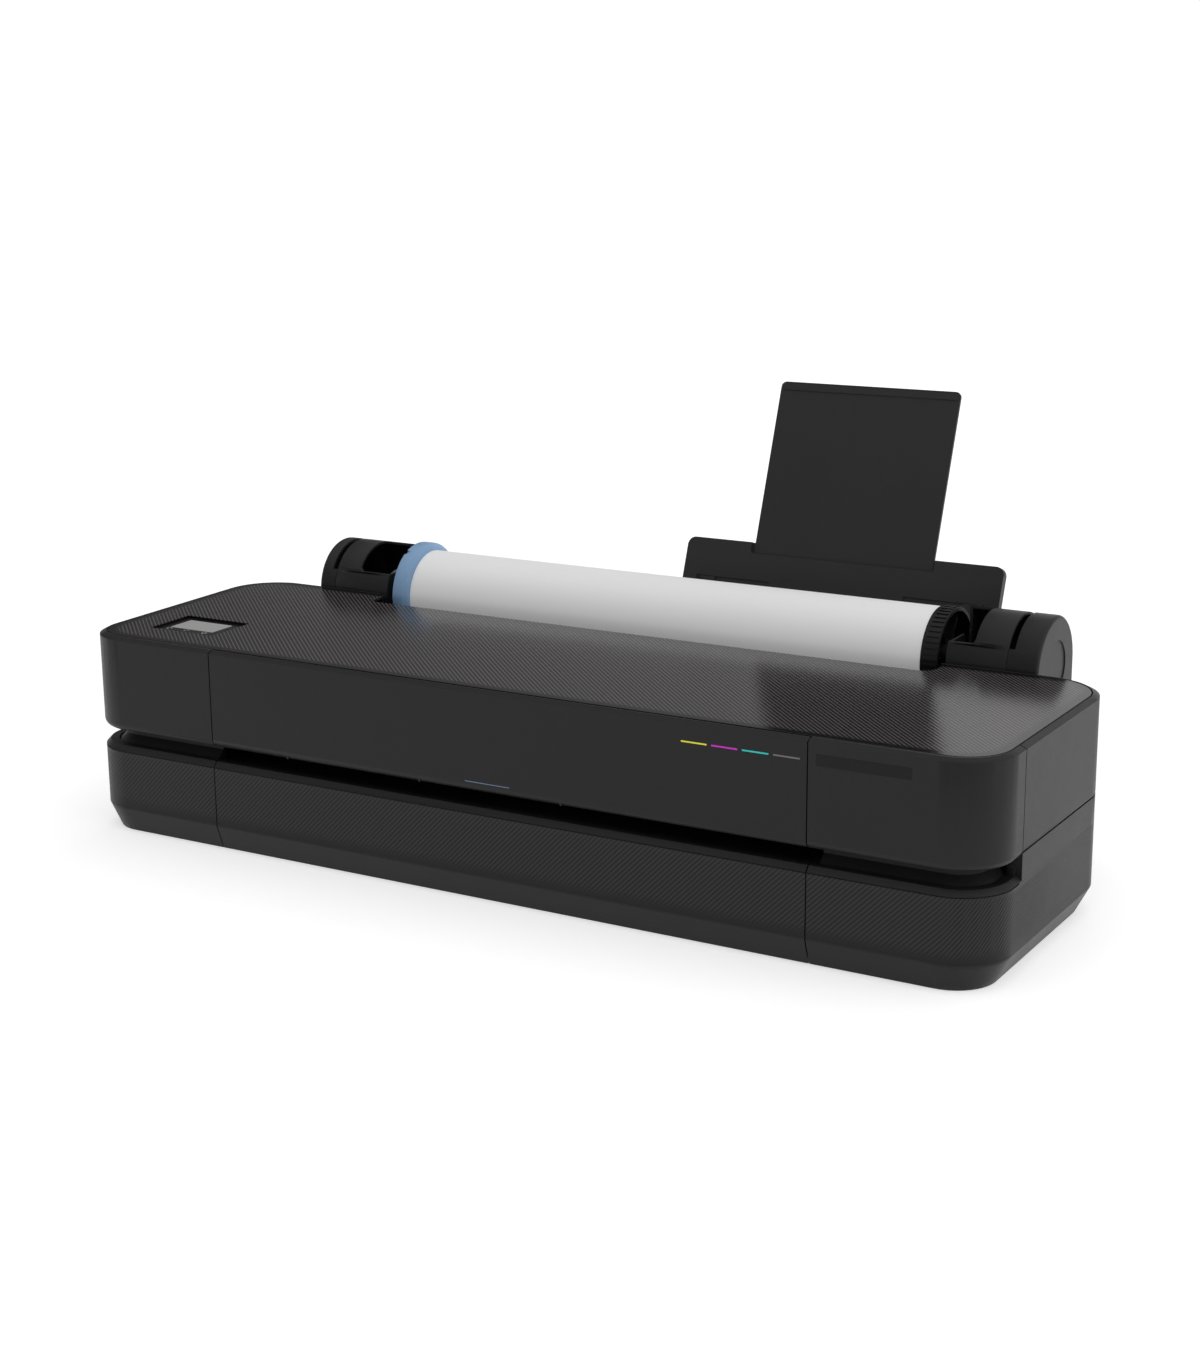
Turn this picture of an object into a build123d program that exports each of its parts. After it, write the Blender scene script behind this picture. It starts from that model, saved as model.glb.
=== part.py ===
"""Large-format desktop plotter with a media roll at the back and a tilted sheet tray.

Millimetres, +X to the right, +Y to the back, +Z up. The origin is on the table, under the middle
of the whole object's bounding box with the sheet tray raised. Most front-to-back places are
stated as a distance behind the cabinet's front face.
"""

from build123d import *
import math
import os

os.makedirs("parts", exist_ok=True)

# ---------------------------------------------------------------- driving dimensions
cabinet_width = 1015.0
cabinet_depth = 308.6
front_y = -260.4  # the cabinet's front face
front_corner_radius = 52.0
rear_corner_radius = 60.0
smallest_corner = 3.0
skin = 3.0  # wall thickness of the plastic covers
seam = 1.2  # gap between neighbouring covers

base_bottom = 0.6  # lower edge of the covers, just clear of the table
skirt_top = 26.0  # where the undercut skirt meets the upright wall
skirt_side_inset = 13.0
skirt_front_inset = 9.0
skirt_rear_inset = 14.0
lip_top = 95.0  # top of the lower cabinet along the output slot
lip_bevel = 5.0
upper_bottom = 111.0  # underside of the upper cabinet
side_seam_height = 116.0
top_height = 212.5  # face of the top cover
cover_split_x = 334.0  # seams beside the centre panels
side_split_y = front_y + 69.3  # where the output slot ends on each side

rim_side = 6.2  # rim left around the inset top cover
rim_front = 9.2
rim_rear = 8.0
cover_gap = 1.0
roll_bay_y = front_y + 266.3  # rear edge of the top cover in front of the roll

roll_axis_y = front_y + 365.3
roll_axis_z = 205.0
roll_length = 610.0
roll_radius = 47.5
core_outer_radius = 28.5
core_inner_radius = 25.4

housing_radius = 51.5  # round end housings that carry the spindle
housing_inner_x = 333.0
housing_outer_x = 427.0
housing_seam_x = {"right": 395.0, "left": 405.0}
housing_notch_x = {"right": 360.0, "left": 374.0}
arm_slot_width = 6.5

tray_tilt = 20.15  # the sheet tray leans back from upright by this many degrees
tray_plane_y = front_y + 430.3  # where the tray's face crosses the height of the top cover
tray_centre_x = 156.5
tray_width = 363.0
tray_thickness = 9.0
tray_top = 71.0  # heights on the tray run up its slope from the top cover's height
tray_foot = -146.0
tray_step = -30.0
extension_centre_x = 157.0
extension_width = 205.6
extension_thickness = 3.0
extension_top = 249.0
extension_foot = 33.0
guide_channel_width = 88.0
guide_channel_offset = 165.0  # a channel's outer end from the middle of the tray
guide_channel_top = 30.0
guide_channel_foot = -44.0

feed_axis_y = front_y + 216.3
exit_axis_y = front_y + 82.3
roller_axis_z = 96.5
roller_radius = 7.5
pinch_radius = 5.0
rod_y = front_y + 206.3
rod_z = 150.0
rod_radius = 6.0
belt_axis_y = front_y + 224.3
belt_z = 172.0
belt_pulley_radius = 8.0
belt_thickness = 1.2
belt_end_x = 452.0
carriage_park_x = 395.0

hinge_barrel_radius = 2.7
hinge_pin_radius = 1.2
running_clearance = 0.06

gear_module = 1.0
spindle_gear_teeth = 40
pinion_teeth = 16
pressure_angle = math.radians(20)

# ---------------------------------------------------------------- places worked out from them
rear_y = front_y + cabinet_depth
hinge_y = front_y + rim_front - hinge_barrel_radius
hinge_z = top_height - hinge_barrel_radius
tilt = math.radians(tray_tilt)
tray_plane = Plane(
    origin=(0, tray_plane_y, top_height),
    x_dir=(1, 0, 0),
    z_dir=(0, -math.cos(tilt), math.sin(tilt)),
)


# ---------------------------------------------------------------- shared shapes
def cabinet_plan(height, side=0.0, front=0.0, rear=0.0):
    """Plan outline of the cabinet at a height, drawn in by the given insets."""
    with BuildSketch(Plane.XY.offset(height)) as plan:
        with Locations((0, (front_y + rear_y + front - rear) / 2)):
            Rectangle(cabinet_width - 2 * side, cabinet_depth - front - rear)
        front_round = max(smallest_corner, front_corner_radius - (side + front) / 2)
        rear_round = max(smallest_corner, rear_corner_radius - (side + rear) / 2)
        fillet(plan.vertices().group_by(Axis.Y)[0], front_round)
        fillet(plan.vertices().group_by(Axis.Y)[-1], rear_round)
    return plan.sketch


def block(x, y, z, mode=Mode.ADD):
    """Box between pairs of limits along X, Y and Z."""
    with Locations((sum(x) / 2, sum(y) / 2, sum(z) / 2)):
        Box(abs(x[1] - x[0]), abs(y[1] - y[0]), abs(z[1] - z[0]), mode=mode)


def rod(x, radius, y=roll_axis_y, z=roll_axis_z, mode=Mode.ADD):
    """Cylinder along X between two X positions, about the roll's axis unless told otherwise."""
    with Locations(Location((sum(x) / 2, y, z), (0, 90, 0))):
        Cylinder(radius, abs(x[1] - x[0]), mode=mode)


def involute(angle):
    return math.tan(angle) - angle


def gear_face(teeth, plane, turn=0.0, backlash=0.16):
    """Sketch of a spur gear: a root disc with one involute tooth repeated round it."""
    pitch = teeth * gear_module / 2
    base = pitch * math.cos(pressure_angle)
    root = pitch - 1.25 * gear_module
    tip = pitch + gear_module
    half_at_pitch = math.pi / (2 * teeth) - backlash / (2 * pitch)

    def half_angle(radius):
        at = math.acos(min(1.0, base / radius))
        return half_at_pitch + involute(pressure_angle) - involute(at)

    radii = (root, pitch, tip) if root > base else (root, base, pitch, tip)
    flank = [(r, half_angle(max(r, base))) for r in radii]
    flank[0] = (root - 0.3, flank[0][1])
    outline = [(r * math.cos(a), r * math.sin(a)) for r, a in flank]
    outline += [(x, -y) for x, y in reversed(outline)]
    with BuildSketch() as tooth:
        with BuildLine():
            Polyline(*outline, close=True)
        make_face()
    with BuildSketch(plane) as face:
        Circle(root)
        with PolarLocations(0, teeth, start_angle=turn):
            add(tooth.sketch)
    return face.sketch


def across_plane(x, y, z):
    """Plane square to X, with its own first axis to the back and its second one up."""
    return Plane(origin=(x, y, z), x_dir=(0, 1, 0), z_dir=(1, 0, 0))


# ---------------------------------------------------------------- lower cabinet
slot_end_radius = 8.0
band_depth = 0.4
groove_height = 1.2
groove_depth = 1.0
groove_top = lip_top - lip_bevel
band_top = groove_top - groove_height - 0.1
with BuildPart() as lower_skin:
    # outside: undercut skirt, upright wall and the bevelled lip along the slot
    loft(
        [
            cabinet_plan(base_bottom, skirt_side_inset, skirt_front_inset, skirt_rear_inset),
            cabinet_plan(skirt_top),
            cabinet_plan(lip_top - lip_bevel),
            cabinet_plan(lip_top, lip_bevel, lip_bevel, lip_bevel),
        ],
        ruled=True,
    )
    with BuildPart(mode=Mode.PRIVATE) as side_walls:
        extrude(cabinet_plan(skirt_top + 10), amount=side_seam_height - seam / 2 - skirt_top - 10)
        block((-600, 600), (side_split_y, rear_y + 10), (0, 300), mode=Mode.INTERSECT)
    add(side_walls.part)
    # inside: the same outlines one wall thickness further in
    inner = skin + lip_bevel
    loft(
        [
            cabinet_plan(
                base_bottom, skirt_side_inset + skin, skirt_front_inset + skin, skirt_rear_inset + skin
            ),
            cabinet_plan(skirt_top, skin, skin, skin),
            cabinet_plan(lip_top - lip_bevel - 1, skin, skin, skin),
            cabinet_plan(lip_top - skin, inner - 1, inner - 1, inner - 1),
        ],
        ruled=True,
        mode=Mode.SUBTRACT,
    )
    extrude(cabinet_plan(lip_top - skin - 0.1, 14, 14, 14), amount=60, mode=Mode.SUBTRACT)
    with BuildPart(mode=Mode.PRIVATE) as side_room:
        extrude(cabinet_plan(skirt_top, skin, skin, skin), amount=120)
        block((-600, 600), (side_split_y + skin, rear_y + 10), (0, 300), mode=Mode.INTERSECT)
    add(side_room.part, mode=Mode.SUBTRACT)
    # shallow band all round that the ribbed finish fills
    with BuildPart(mode=Mode.PRIVATE) as ribbed_band:
        extrude(cabinet_plan(skirt_top + 2), amount=band_top - skirt_top - 2)
        extrude(cabinet_plan(skirt_top, band_depth, band_depth, band_depth), amount=100, mode=Mode.SUBTRACT)
    add(ribbed_band.part, mode=Mode.SUBTRACT)
    # thin shadow groove under the lip's bevel
    with BuildPart(mode=Mode.PRIVATE) as groove:
        extrude(cabinet_plan(groove_top - groove_height), amount=groove_height)
        groove_floor = cabinet_plan(groove_top - 2 * groove_height, groove_depth, groove_depth, groove_depth)
        extrude(groove_floor, amount=3 * groove_height, mode=Mode.SUBTRACT)
        block((-600, 600), (front_y - 10, side_split_y - 6), (0, 300), mode=Mode.INTERSECT)
    add(groove.part, mode=Mode.SUBTRACT)

with BuildPart() as lower_front_panel:
    add(lower_skin.part)
    panel_edge = cover_split_x - seam / 2
    block((-panel_edge, panel_edge), (front_y - 10, front_y + 60), (0, 200), mode=Mode.INTERSECT)

with BuildPart() as base_side_right:
    add(lower_skin.part)
    block((cover_split_x + seam / 2, 600), (front_y - 10, rear_y + 10), (0, 200), mode=Mode.INTERSECT)
    # rounded lower corner where the output slot ends
    with BuildSketch(Plane.YZ.offset(cabinet_width / 2 - 14)) as slot_end:
        with BuildLine():
            corner = Line((side_split_y - slot_end_radius, lip_top - 1), (side_split_y + 1, lip_top - 1))
            wall = Line(corner @ 1, (side_split_y + 1, lip_top + slot_end_radius))
            ledge = Line(wall @ 1, (side_split_y, lip_top + slot_end_radius))
            turn = RadiusArc(ledge @ 1, (side_split_y - slot_end_radius, lip_top), slot_end_radius)
            Line(turn @ 1, corner @ 0)
        make_face()
    extrude(slot_end.sketch, amount=8)

with BuildPart() as base_side_left:
    mirror(base_side_right.part, about=Plane.YZ)

stand_spacing_x = 700.0  # the four screws of a floor stand
stand_spacing_y = 180.0
stand_hole_radius = 2.5
pan_bottom = 3.0
pan_rib_height = 14.0
cabinet_mid_y = (front_y + rear_y) / 2
with BuildPart() as base_pan:
    extrude(cabinet_plan(pan_bottom, 24, 18, 18), amount=skin)
    with BuildSketch(Plane.XY.offset(pan_bottom + skin)):
        with Locations((0, cabinet_mid_y)):
            with GridLocations(stand_spacing_x, stand_spacing_y, 2, 2):
                Circle(7)
            with GridLocations(0, 120, 1, 2):
                Rectangle(880, skin)
            with GridLocations(220, 0, 4, 1):
                Rectangle(skin, 200)
    extrude(amount=pan_rib_height)
    # rear wall between the two side covers
    block((-cover_split_x, cover_split_x), (rear_y - 18 - skin, rear_y - 18), (pan_bottom + 1, 92))
    with BuildSketch(Plane.XY.offset(pan_bottom)):
        with Locations((0, cabinet_mid_y)):
            with GridLocations(stand_spacing_x, stand_spacing_y, 2, 2):
                Circle(stand_hole_radius)
    extrude(amount=40, mode=Mode.SUBTRACT)

with BuildPart() as rubber_feet:
    with BuildSketch():
        with Locations((0, cabinet_mid_y)):
            with GridLocations(860, 210, 2, 2):
                Circle(11)
    extrude(amount=pan_bottom)
    chamfer(rubber_feet.edges().group_by(Axis.Z)[0], length=0.8)

deck_height = 90.0
deck_inset = 15.0  # clear of the lip of the lower covers
fascia_inset = 24.0
fascia_top = 110.6
ledge_top = 102.0  # the sloping ledge beside the paper's way out
ledge_half_gap = cover_split_x + 6
deck_rear_y = exit_axis_y - 12
with BuildPart() as output_deck:
    extrude(cabinet_plan(deck_height - skin, deck_inset, deck_inset, deck_inset), amount=skin)
    # behind each front corner a ledge slopes up to a curved fascia that closes the slot
    with BuildPart(mode=Mode.PRIVATE) as corner_ledges:
        back_of_fascia = fascia_inset + skin
        loft(
            [
                cabinet_plan(deck_height - 1, deck_inset, deck_inset, deck_inset),
                cabinet_plan(lip_top - 1, deck_inset, deck_inset, deck_inset),
                cabinet_plan(ledge_top, fascia_inset, fascia_inset, fascia_inset),
                cabinet_plan(fascia_top, fascia_inset, fascia_inset, fascia_inset),
            ],
            ruled=True,
        )
        hollow = cabinet_plan(deck_height - 2, back_of_fascia, back_of_fascia, back_of_fascia)
        extrude(hollow, amount=60, mode=Mode.SUBTRACT)
        block((-ledge_half_gap, ledge_half_gap), (front_y, rear_y), (0, 300), mode=Mode.SUBTRACT)
    add(corner_ledges.part)
    block((-600, 600), (front_y - 10, deck_rear_y), (0, 300), mode=Mode.INTERSECT)

# ---------------------------------------------------------------- upper cabinet
rim_bevel_drop = 3.0
rim_bevel_run = 6.0
with BuildPart() as upper_skin:
    extrude(cabinet_plan(upper_bottom), amount=top_height - upper_bottom)
    fillet(upper_skin.faces().sort_by(Axis.Z)[0].edges(), radius=8.0)
    crown = upper_skin.faces().sort_by(Axis.Z)[-1]
    chamfer(crown.edges(), length=rim_bevel_run, length2=rim_bevel_drop, reference=crown)
    extrude(cabinet_plan(upper_bottom + 8, skin, skin, skin),
            amount=top_height - upper_bottom - 8 - 2 * skin, mode=Mode.SUBTRACT)
    extrude(cabinet_plan(upper_bottom + skin, 10, 10, 10), amount=20, mode=Mode.SUBTRACT)
    extrude(cabinet_plan(top_height - 10, rim_side, rim_front, rim_rear), amount=20, mode=Mode.SUBTRACT)
    extrude(cabinet_plan(upper_bottom - 5, 22, 28, 28), amount=20, mode=Mode.SUBTRACT)

boss_length = 14.0
boss_start = cover_split_x + seam / 2
with BuildPart() as upper_corner_right:
    add(upper_skin.part)
    block((boss_start, 600), (front_y - 10, side_split_y - seam / 2), (0, 400), mode=Mode.INTERSECT)
    # boss that carries the door's hinge pin
    block((boss_start, boss_start + boss_length), (front_y + 1.5, front_y + rim_front),
          (top_height - 8, top_height - 2.4))
    rod(
        (boss_start - 1, boss_start + boss_length + 1), hinge_pin_radius, hinge_y, hinge_z, mode=Mode.SUBTRACT
    )

with BuildPart() as upper_corner_left:
    mirror(upper_corner_right.part, about=Plane.YZ)

with BuildPart() as upper_side_right:
    add(upper_skin.part)
    block((cover_split_x, 600), (side_split_y + seam / 2, rear_y + 10), (side_seam_height + seam / 2, 400),
          mode=Mode.INTERSECT)

with BuildPart() as upper_side_left:
    mirror(upper_side_right.part, about=Plane.YZ)

display_x = -414.5
display_y = front_y + 85.8
display_width = 83.0
display_depth = 63.0
display_drop = 2.5
bay_left_x = -324.0
bay_right_x = 338.0
with BuildPart() as top_cover:
    with BuildSketch(Plane.XY.offset(top_height - skin)) as bay:
        with Locations(((bay_left_x + bay_right_x) / 2, roll_bay_y + 100)):
            Rectangle(bay_right_x - bay_left_x, 200)
        fillet(bay.vertices().group_by(Axis.Y)[0], 14)
    cover_plan = cabinet_plan(
        top_height - skin, rim_side + cover_gap, rim_front + cover_gap, rim_rear + cover_gap
    )
    extrude(cover_plan, amount=skin)
    extrude(bay.sketch, amount=skin, mode=Mode.SUBTRACT)
    fillet(top_cover.faces().sort_by(Axis.Z)[-1].edges(), radius=0.8)
    with BuildSketch(Plane.XY.offset(top_height - skin)) as window:
        with Locations((display_x, display_y)):
            RectangleRounded(display_width, display_depth, 2)
    extrude(window.sketch, amount=skin, mode=Mode.SUBTRACT)
    # stiffening frame under the panel
    with BuildPart(mode=Mode.PRIVATE) as frame:
        extrude(cabinet_plan(top_height - skin - 4, 30, 24, 62), amount=4)
        extrude(cabinet_plan(top_height - skin - 5, 33, 27, 65), amount=8, mode=Mode.SUBTRACT)
    add(frame.part)

with BuildPart() as display_panel:
    with BuildSketch(Plane.XY.offset(top_height - display_drop)) as face:
        with Locations((display_x, display_y)):
            RectangleRounded(display_width - 0.6, display_depth - 0.6, 1.8)
    extrude(face.sketch, amount=-1)
    block((display_x - 36, display_x + 36), (display_y - 26, display_y + 26),
          (top_height - 12, top_height - display_drop - 1))

door_edge = cover_split_x - seam / 2
pin_reach = 12.0
bottom_round = 8.0
door_lip_depth = 22.0
with BuildPart() as front_door:
    with BuildSketch(Plane.YZ.offset(-door_edge)) as door_section:
        with BuildLine():
            face_line = Line((front_y, top_height - rim_bevel_drop), (front_y, upper_bottom + bottom_round))
            turn = RadiusArc(face_line @ 1, (front_y + bottom_round, upper_bottom), -bottom_round)
            lip = Polyline(turn @ 1, (front_y + door_lip_depth, upper_bottom),
                           (front_y + door_lip_depth, upper_bottom + skin),
                           (front_y + bottom_round, upper_bottom + skin))
            inside = RadiusArc(lip @ 1, (front_y + skin, upper_bottom + bottom_round), bottom_round - skin)
            Polyline(inside @ 1, (front_y + skin, hinge_z - hinge_barrel_radius), (hinge_y, hinge_z),
                     (hinge_y, top_height), (front_y + rim_bevel_run, top_height), face_line @ 0)
        make_face()
        with Locations((hinge_y, hinge_z)):
            Circle(hinge_barrel_radius)
    extrude(door_section.sketch, amount=2 * door_edge)
    for end in (-door_edge, door_edge - pin_reach):
        rod(
            (end, end + pin_reach), hinge_pin_radius + running_clearance, hinge_y, hinge_z,
            mode=Mode.SUBTRACT,
        )
    # upright stiffening ribs on the inside face
    for rib_x in (-240, -80, 80):
        block((rib_x, rib_x + 2), (front_y + 1, front_y + 12), (upper_bottom + 1, top_height - 12))

with BuildPart() as door_hinge_pins:
    near = door_edge - pin_reach + 1
    far = boss_start + boss_length
    rod((near, far), hinge_pin_radius, hinge_y, hinge_z)
    rod((-far, -near), hinge_pin_radius, hinge_y, hinge_z)

bay_half = cover_split_x - 3
with BuildPart() as upper_rear_cover:
    block((-bay_half, bay_half), (rear_y - skin, rear_y), (upper_bottom, 140))
    block((-bay_half, bay_half), (rear_y - 30, rear_y), (upper_bottom, upper_bottom + skin))

# ---------------------------------------------------------------- roll bay and rear unit
trough_radius = 61.0


def off_roll_axis(radius, degrees):
    """Point in the roll's cross-section at an angle turning down from the front."""
    angle = math.radians(degrees)
    return (roll_axis_y - radius * math.cos(angle), roll_axis_z - radius * math.sin(angle))


trough_start = 20.0
trough_end = 110.0
trough_lip_z = top_height - skin - 0.4
with BuildPart() as roll_trough:
    outside_radius = trough_radius + skin
    middle = (trough_start + trough_end) / 2
    with BuildSketch(Plane.YZ.offset(-bay_half)) as gutter:
        with BuildLine():
            upper = ThreePointArc(off_roll_axis(trough_radius, trough_start),
                                  off_roll_axis(trough_radius, middle),
                                  off_roll_axis(trough_radius, trough_end))
            lower = ThreePointArc(off_roll_axis(outside_radius, trough_end),
                                  off_roll_axis(outside_radius, middle),
                                  off_roll_axis(outside_radius, trough_start))
            Line(upper @ 1, lower @ 0)
            Polyline(lower @ 1, (roll_bay_y - 8, trough_lip_z - skin), (roll_bay_y - 8, trough_lip_z),
                     (roll_bay_y - 1, trough_lip_z), upper @ 0)
        make_face()
    extrude(gutter.sketch, amount=2 * bay_half)


def housing_outline(x, inset=0.0):
    """End housing's section: half round above, upright below, reaching the cabinet's back."""
    r = housing_radius - inset
    front_foot = rear_y + 0.6 + inset
    with BuildSketch(Plane.YZ.offset(x)) as section:
        with BuildLine():
            over = ThreePointArc((roll_axis_y + r, roll_axis_z), (roll_axis_y, roll_axis_z + r),
                                 (roll_axis_y - r, roll_axis_z))
            Polyline(
                over @ 1,
                (roll_axis_y - r, 192 - inset),
                (front_foot, 186 - inset),
                (front_foot, housing_bottom + inset),
                (roll_axis_y + r, housing_bottom + inset),
                over @ 0,
            )
        make_face()
    return section.sketch


housing_bottom = 20.0
notch_floor = roll_axis_z + 25.5
notch_back_y = roll_axis_y + 10
notch_corner = 5.0
cradle_half_width = 8.5


def spindle_housing(seam_x, notch_x):
    """Right-hand housing: a hollow shell from the roll to the end cap's seam."""
    wall_end = housing_inner_x + skin
    with BuildPart() as housing:
        extrude(housing_outline(housing_inner_x), amount=seam_x - housing_inner_x)
        extrude(housing_outline(wall_end, skin), amount=200, mode=Mode.SUBTRACT)
        # notch over the spindle's end, open to the front and the top
        with BuildSketch(Plane.XZ.offset(-notch_back_y)) as notch:
            with Locations(((housing_inner_x + notch_x) / 2, notch_floor + 50)):
                RectangleRounded(notch_x - housing_inner_x, 100, notch_corner)
            with Locations((housing_inner_x, notch_floor + 50)):
                Rectangle(2 * notch_corner, 100)
        extrude(notch.sketch, amount=120, mode=Mode.SUBTRACT)
        # cradle that the spindle drops into
        rod((housing_inner_x - 1, wall_end + 1), cradle_half_width, mode=Mode.SUBTRACT)
        block((housing_inner_x - 1, wall_end + 1),
              (roll_axis_y - cradle_half_width, roll_axis_y + cradle_half_width),
              (roll_axis_z, roll_axis_z + 60), mode=Mode.SUBTRACT)
    return housing.part


def housing_cap(seam_x):
    """Right-hand end cap, with the arc slot beside its seam and a round recess in its face."""
    with BuildPart() as cap:
        extrude(housing_outline(seam_x + 0.3), amount=housing_outer_x - seam_x - 0.3)
        fillet(cap.faces().sort_by(Axis.X)[-1].edges(), radius=4.0)
        extrude(housing_outline(seam_x, skin), amount=housing_outer_x - seam_x - skin, mode=Mode.SUBTRACT)
        rod((housing_outer_x - 1.2, housing_outer_x + 1), 27.0, mode=Mode.SUBTRACT)
        slot = (seam_x, seam_x + arm_slot_width)
        slot_floor = roll_axis_z + 24.5
        block(slot, (roll_axis_y - 60, roll_axis_y + 1), (slot_floor, slot_floor + 60), mode=Mode.SUBTRACT)
        block(slot, (roll_axis_y, roll_axis_y + 60), (slot_floor + 18, slot_floor + 60), mode=Mode.SUBTRACT)
    return cap.part


with BuildPart() as spindle_housing_right:
    add(spindle_housing(housing_seam_x["right"], housing_notch_x["right"]))

with BuildPart() as spindle_housing_left:
    mirror(spindle_housing(housing_seam_x["left"], housing_notch_x["left"]), about=Plane.YZ)

with BuildPart() as housing_cap_right:
    add(housing_cap(housing_seam_x["right"]))

with BuildPart() as housing_cap_left:
    mirror(housing_cap(housing_seam_x["left"]), about=Plane.YZ)

unit_half = housing_inner_x - 1
unit_back_y = roll_axis_y + housing_radius
unit_top = 70.0
inlet_x = -255.0
ports_x = -170.0
switch_x = -300.0
socket_z = 46.0
port_centres = (ports_x - 12, ports_x + 11)
with BuildPart() as rear_housing:
    block((-unit_half, unit_half), (rear_y + 0.6, unit_back_y), (housing_bottom, unit_top))
    fillet(rear_housing.edges().filter_by(Axis.X).group_by(Axis.Y)[-1], radius=6)
    block((-unit_half + skin, unit_half - skin), (rear_y, unit_back_y - skin),
          (housing_bottom + skin, unit_top - skin), mode=Mode.SUBTRACT)
    for x, half_width, half_height in ((inlet_x, 15, 12), (ports_x, 22, 9), (switch_x, 8, 11)):
        block((x - half_width, x + half_width), (unit_back_y - 10, unit_back_y + 10),
              (socket_z - half_height, socket_z + half_height), mode=Mode.SUBTRACT)

with BuildPart() as power_inlet:
    block(
        (inlet_x - 14.8, inlet_x + 14.8), (unit_back_y - 24, unit_back_y - 0.5),
        (socket_z - 11.8, socket_z + 11.8)
    )
    block((inlet_x - 12, inlet_x + 12), (unit_back_y - 18, unit_back_y), (socket_z - 8, socket_z + 8),
          mode=Mode.SUBTRACT)
    for x, z in ((-7, 2), (7, 2), (0, -3)):
        block((inlet_x + x - 0.9, inlet_x + x + 0.9), (unit_back_y - 19, unit_back_y - 8),
              (socket_z + z - 2, socket_z + z + 2))

board_thickness = 1.6
board_right_x = -126.0
with BuildPart() as main_board:
    # circuit board lying in the rear unit, with its two data sockets along the back edge
    board_top = socket_z - 8.8
    block(
        (ports_x - 45, board_right_x), (unit_back_y - 85, unit_back_y - 5),
        (board_top - board_thickness, board_top)
    )
    block(
        (ports_x - 21.8, ports_x + 21.8), (unit_back_y - 20, unit_back_y - 0.5), (board_top, socket_z + 8.8),
    )
    for x in port_centres:
        block(
            (x - 6.5, x + 6.5), (unit_back_y - 16, unit_back_y),
            (socket_z - 5, socket_z + 6), mode=Mode.SUBTRACT
        )
    # chips, coils and a connector
    for x, y, width, depth, height in ((-205, -70, 22, 22, 3), (-160, -62, 14, 14, 4), (-200, -38, 9, 20, 8)):
        block((x, x + width), (unit_back_y + y, unit_back_y + y + depth), (board_top, board_top + height))

with BuildPart() as power_button:
    block((switch_x - 7, switch_x + 7), (unit_back_y - 8, unit_back_y + 2), (socket_z - 10, socket_z + 10))
    fillet(power_button.faces().sort_by(Axis.Y)[-1].edges(), radius=1.5)

panel_low = -147.0
panel_high = -8.0
panel_plane = tray_plane.offset(-tray_thickness - 1)
with BuildPart() as rear_guide_panel:
    with BuildSketch(panel_plane) as sheet:
        with Locations((0, (panel_low + panel_high) / 2)):
            Rectangle(2 * unit_half, panel_high - panel_low)
    extrude(sheet.sketch, amount=-skin)
    with BuildSketch(panel_plane.offset(-skin)) as ribs:
        with Locations((0, (panel_low + panel_high) / 2)):
            with GridLocations(110, 0, 6, 1):
                Rectangle(2, panel_high - panel_low - 6)
    extrude(ribs.sketch, amount=-5)

# ---------------------------------------------------------------- sheet tray
front_layer = tray_thickness / 3  # the tray's plastic in front of the extension's pocket
slide_gap = 0.3
channel_depth = 1.8
tray_middle = (tray_top + tray_foot) / 2
channel_middle = (guide_channel_top + guide_channel_foot) / 2
with BuildPart() as sheet_tray:
    with BuildSketch(tray_plane) as board:
        with Locations((tray_centre_x, tray_middle)):
            Rectangle(tray_width, tray_top - tray_foot)
        fillet(board.vertices().group_by(Axis.Z)[-1], radius=9)
        # step that clears the right-hand spindle housing
        with Locations((housing_inner_x + 50, (tray_foot + tray_step) / 2)):
            Rectangle(102, tray_step - tray_foot, mode=Mode.SUBTRACT)
    extrude(board.sketch, amount=-tray_thickness)
    # pocket that the extension slides down into, open along the top
    with BuildSketch(tray_plane.offset(-front_layer)) as pocket:
        with Locations((extension_centre_x, tray_middle + 2)):
            Rectangle(extension_width + 0.8, tray_top - tray_foot)
    extrude(pocket.sketch, amount=-extension_thickness - 2 * slide_gap, mode=Mode.SUBTRACT)
    # the front layer stops short of the top, so that a finger reaches the extension
    with BuildSketch(tray_plane) as reach:
        with Locations((extension_centre_x, tray_top)):
            RectangleRounded(extension_width + 5, 24, 3)
    extrude(reach.sketch, amount=-front_layer - 0.5, mode=Mode.SUBTRACT)
    with BuildSketch(tray_plane) as channels:
        with Locations((tray_centre_x, channel_middle)):
            with GridLocations(2 * guide_channel_offset - guide_channel_width, 0, 2, 1):
                Rectangle(guide_channel_width, guide_channel_top - guide_channel_foot)
    extrude(channels.sketch, amount=-channel_depth, mode=Mode.SUBTRACT)

with BuildPart() as tray_extension:
    with BuildSketch(tray_plane.offset(-front_layer - slide_gap)) as plate:
        with Locations((extension_centre_x, (extension_top + extension_foot) / 2)):
            Rectangle(extension_width, extension_top - extension_foot)
        fillet(plate.vertices().group_by(Axis.Z)[-1], 6)
    extrude(plate.sketch, amount=-extension_thickness)
    # stiffening hem along the top edge
    with BuildSketch(tray_plane.offset(-front_layer - slide_gap - 1)) as hem:
        with Locations((extension_centre_x, extension_top - 5.5)):
            RectangleRounded(extension_width - 2, 7, 2)
    extrude(hem.sketch, amount=2.2)

guide_foot_width = 22.0
fence_width = 2.5
fence_height = 6.5


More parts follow.
